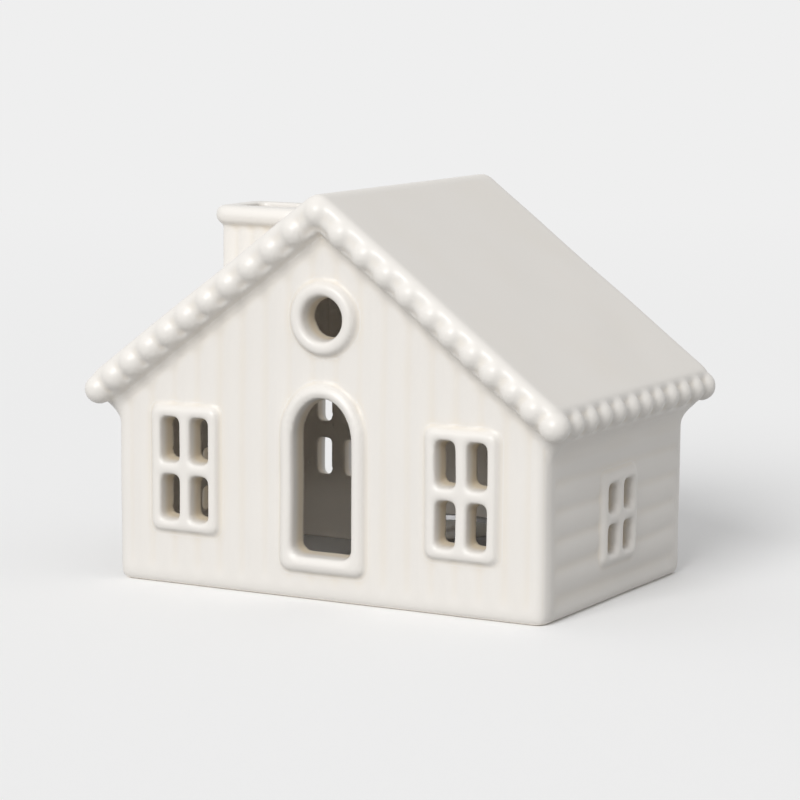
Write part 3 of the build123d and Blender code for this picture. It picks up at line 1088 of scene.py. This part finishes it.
def wax_material():
    """White paraffin with a soft crystalline bloom."""
    recipe = Recipe("paraffin_wax")
    bloom = recipe.noise(420, 5)
    cloud = recipe.noise(70, 2)
    tone = recipe.blend(cloud * 0.6 + bloom * 0.4, (0.86, 0.85, 0.81), (0.78, 0.76, 0.70))
    return recipe.surface(
        Base_Color=tone, Roughness=0.38 + bloom * 0.22, Subsurface_Weight=0.2,
        Subsurface_Radius=(0.004, 0.003, 0.002), Subsurface_Scale=1.0, Normal=recipe.bump(0.2, 0.15, bloom))


def cotton_material():
    """Waxed cotton fibres that run round the wick."""
    recipe = Recipe("cotton_wick")
    fibres = recipe.noise(5200, 4, 0.35)
    tone = recipe.blend(fibres, (0.84, 0.81, 0.74), (0.62, 0.57, 0.48))
    return recipe.surface(
        Base_Color=tone, Roughness=0.62 + fibres * 0.3, Normal=recipe.bump(0.6, 0.1, fibres))


def tin_material():
    """Stamped tinned steel with grey clouds."""
    recipe = Recipe("tinned_steel")
    clouds = recipe.noise(700, 4)
    tone = recipe.blend(clouds, (0.62, 0.62, 0.60), (0.46, 0.46, 0.45))
    return recipe.surface(Base_Color=tone, Metallic=1.0, Roughness=0.3 + clouds * 0.2)


# Operators


class TEALIGHT_HOUSE_OT_clay(bpy.types.Operator):
    """Build the ceramic body as one soft glazed skin"""

    bl_idname = "tealight_house.clay"
    bl_label = "Clay body"

    def execute(self, context):
        plan = HousePlan()
        body = make_clay_body(plan)
        body.data.materials.clear()
        body.data.materials.append(glaze_material(plan))
        return {"FINISHED"}


class TEALIGHT_HOUSE_OT_chimney(bpy.types.Operator):
    """Part the chimney's rim and stack from the clay body"""

    bl_idname = "tealight_house.chimney"
    bl_label = "Chimney"

    def execute(self, context):
        seam = clay().seam
        rim_low, rim_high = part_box("chimney_rim")
        around = Vector((seam, seam, seam)) * 2
        part_block("chimney_rim", rim_low - around, rim_high + around)
        low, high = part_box("chimney_stack")
        part_block("chimney_stack", low - around, Vector((high.x, high.y, rim_high.z)) + around)
        return {"FINISHED"}


class TEALIGHT_HOUSE_OT_beads(bpy.types.Operator):
    """Part the bead rows from the clay body"""

    bl_idname = "tealight_house.beads"
    bl_label = "Bead trim"

    def execute(self, context):
        plan = HousePlan()
        seam = clay().seam
        low, high = plan.around()
        x = plan.eave_x - seam
        y = plan.rake_y - seam
        part_block("left_eave_beads", low, (-x, high.y, high.z))
        part_block("right_eave_beads", (x, low.y, low.z), high)
        half = plan.bead_radius
        for end, near, far in (("front", low.y, -y), ("rear", y, high.y)):
            part_block(end + "_apex_bead", (-half, near, low.z), (half, far, high.z))
            part_block(end + "_left_rake_beads", (low.x, near, low.z), (0, far, high.z))
            part_block(end + "_right_rake_beads", (0, near, low.z), (high.x, far, high.z))
        return {"FINISHED"}


class TEALIGHT_HOUSE_OT_roof(bpy.types.Operator):
    """Part the two roof slopes from the clay body"""

    bl_idname = "tealight_house.roof"
    bl_label = "Roof"

    def execute(self, context):
        plan = HousePlan()
        low, high = plan.around()
        for name, x in (("roof_left_slope", low.x), ("roof_right_slope", high.x)):
            outline = ((0, plan.apex_under), (x, plan.roof_under(x)), (x, high.z), (0, high.z))
            cutter = bmesh.new()
            add_prism(cutter, [(u, low.y, v) for u, v in outline], Vector((0, high.y - low.y, 0)))
            part(CLAY_BODY, name, cutter)
        return {"FINISHED"}


class TEALIGHT_HOUSE_OT_walls(bpy.types.Operator):
    """Part the four walls from what is left of the clay body"""

    bl_idname = "tealight_house.walls"
    bl_label = "Walls"

    def execute(self, context):
        plan = HousePlan()
        low, high = plan.around()
        part_block("front_wall", low, (high.x, -plan.inner_depth, high.z))
        part_block("rear_wall", (low.x, plan.inner_depth, low.z), high)
        part_block("left_wall", low, (0, high.y, high.z))
        rest = bpy.data.objects[CLAY_BODY]
        rest.name = "right_wall_clay"
        dress(rest, "right_wall", HOUSE)
        return {"FINISHED"}


class TEALIGHT_HOUSE_OT_frames(bpy.types.Operator):
    """Part the window frames, the door surround and the round window from the walls"""

    bl_idname = "tealight_house.frames"
    bl_label = "Window frames and door"

    def execute(self, context):
        seam = clay().seam
        around = Vector((seam, seam, seam * 2))
        for node, facing in WALL_PIECES.items():
            low, high = wall_box(node)
            cutter = bmesh.new()
            add_frame(cutter, node, low - around, high + around, seam)
            bmesh.ops.transform(cutter, verts=cutter.verts, matrix=FACINGS[facing])
            part(facing + "_wall_clay", node, cutter)
        return {"FINISHED"}


class TEALIGHT_HOUSE_OT_tealight(bpy.types.Operator):
    """Model the tealight's cup, wax and wick"""

    bl_idname = "tealight_house.tealight"
    bl_label = "Tealight"

    def execute(self, context):
        dress(tealight_cup(), "tealight_cup", TEALIGHT, foil_material())
        dress(tealight_wax(), "tealight_wax", TEALIGHT, wax_material())
        dress(tealight_wick(), "tealight_wick", TEALIGHT, cotton_material())
        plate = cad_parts["wick_sustainer"]
        plate.data.materials.clear()
        plate.data.materials.append(tin_material())
        return {"FINISHED"}


class TEALIGHT_HOUSE_OT_stage(bpy.types.Operator):
    """Set up the floor, the lamps and the camera"""

    bl_idname = "tealight_house.stage"
    bl_label = "Studio"

    def execute(self, context):
        settings = context.scene.tealight_house_stage
        floor = bmesh.new()
        bmesh.ops.create_grid(floor, x_segments=1, y_segments=1, size=FLOOR_REACH)
        floor = new_object("floor", floor)
        recipe = Recipe("floor_paper")
        seen = recipe.seen_directly()
        paper = recipe.node("BsdfDiffuse", None, {"Color": (*settings.floor, 1)})["BSDF"]
        place = recipe.place()
        away = recipe.node("VectorMath", {"operation": "LENGTH"}, {0: place})["Value"]
        split = recipe.node("SeparateXYZ", None, {"Vector": place})
        plan = HousePlan()
        under = (abs(split["X"]) < plan.half_width) * (abs(split["Y"]) < plan.half_depth)
        bounce = recipe.blend(under, settings.floor_bounce, settings.floor)
        dim = recipe.node("BsdfDiffuse", None, {"Color": bounce})["BSDF"]
        backdrop = recipe.node("Emission", None, {"Color": (*settings.background, 1)})["Emission"]
        far = recipe.ramp(away * 0.5, (SWEEP_START * 0.5, 0), (SWEEP_END * 0.5, 1))
        sweep = recipe.node("MixShader", None, {0: far, 1: paper, 2: backdrop})["Shader"]
        mixed = recipe.node("MixShader", None, {0: seen, 1: dim, 2: sweep})["Shader"]
        recipe.node("OutputMaterial", None, {"Surface": mixed})
        floor.data.materials.append(recipe.material)
        floor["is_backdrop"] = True
        self.light(context, settings)
        self.aim(context, settings)
        context.scene.view_settings.view_transform = "Standard"
        return {"FINISHED"}

    def light(self, context, settings):
        """A broad soft key from the front and an even room."""
        lamp = bpy.data.lights.new("key", "SUN")
        lamp.energy = settings.key
        lamp.angle = settings.key_spread
        holder = bpy.data.objects.new("key", lamp)
        holder.rotation_euler = Euler((math.pi / 2 - settings.key_elevation, 0, settings.key_azimuth))
        context.scene.collection.objects.link(holder)
        recipe = Recipe("room", bpy.data.worlds.new("room"))
        seen = recipe.seen_directly()
        grey = (settings.room, settings.room, settings.room, 1)
        around = recipe.node("Background", None, {"Color": grey})["Background"]
        backdrop = recipe.node("Background", None, {"Color": (*settings.background, 1)})["Background"]
        mixed = recipe.node("MixShader", None, {0: seen, 1: around, 2: backdrop})["Shader"]
        recipe.node("OutputWorld", None, {"Surface": mixed})
        context.scene.world = recipe.material

    def aim(self, context, settings):
        """A long lens at the photograph's angle."""
        az, el = settings.azimuth, settings.elevation
        back = Vector((math.sin(az) * math.cos(el), -math.cos(az) * math.cos(el), math.sin(el)))
        right = Vector((math.cos(az), math.sin(az), 0))
        up = back.cross(right)
        roll = settings.roll
        axis_x = right * math.cos(roll) + up * math.sin(roll)
        axis_y = up * math.cos(roll) - right * math.sin(roll)
        target = Vector((settings.aside, 0, settings.height))
        camera = bpy.data.cameras.new("camera")
        camera.lens = settings.lens
        camera.sensor_width = SENSOR
        camera.clip_end = FAR_CLIP
        holder = bpy.data.objects.new("camera", camera)
        turn = Matrix((axis_x, axis_y, back)).transposed().to_4x4()
        holder.matrix_world = Matrix.Translation(target + back * settings.distance) @ turn
        context.scene.collection.objects.link(holder)
        context.scene.camera = holder


class TEALIGHT_HOUSE_PT_panel(bpy.types.Panel):
    """The add-on's sidebar"""

    bl_idname = "TEALIGHT_HOUSE_PT_panel"
    bl_label = "Tealight House"
    bl_space_type = "VIEW_3D"
    bl_region_type = "UI"
    bl_category = "Tealight House"

    def draw(self, context):
        for step in STEPS:
            self.layout.operator(step.bl_idname)


STEPS = (
    TEALIGHT_HOUSE_OT_clay, TEALIGHT_HOUSE_OT_chimney, TEALIGHT_HOUSE_OT_beads, TEALIGHT_HOUSE_OT_roof,
    TEALIGHT_HOUSE_OT_walls, TEALIGHT_HOUSE_OT_frames, TEALIGHT_HOUSE_OT_tealight, TEALIGHT_HOUSE_OT_stage,
)
GROUPS = {
    "tealight_house_clay": ClaySizes,
    "tealight_house_colours": GlazeColours,
    "tealight_house_stage": StageSettings,
}
CLASSES = (*GROUPS.values(), *STEPS, TEALIGHT_HOUSE_PT_panel)


def register():
    """Adds the classes and the scene's settings."""
    for cls in CLASSES:
        bpy.utils.register_class(cls)
    for name, group in GROUPS.items():
        setattr(bpy.types.Scene, name, PointerProperty(type=group))


def unregister():
    """Takes the classes and the scene's settings away again."""
    for name in GROUPS:
        delattr(bpy.types.Scene, name)
    for cls in reversed(CLASSES):
        bpy.utils.unregister_class(cls)


def main():
    """Builds everything."""
    register()
    bpy.ops.tealight_house.clay()
    bpy.ops.tealight_house.chimney()
    bpy.ops.tealight_house.beads()
    bpy.ops.tealight_house.roof()
    bpy.ops.tealight_house.walls()
    bpy.ops.tealight_house.frames()
    bpy.ops.tealight_house.tealight()
    bpy.ops.tealight_house.stage()


if __name__ == "__main__":
    main()
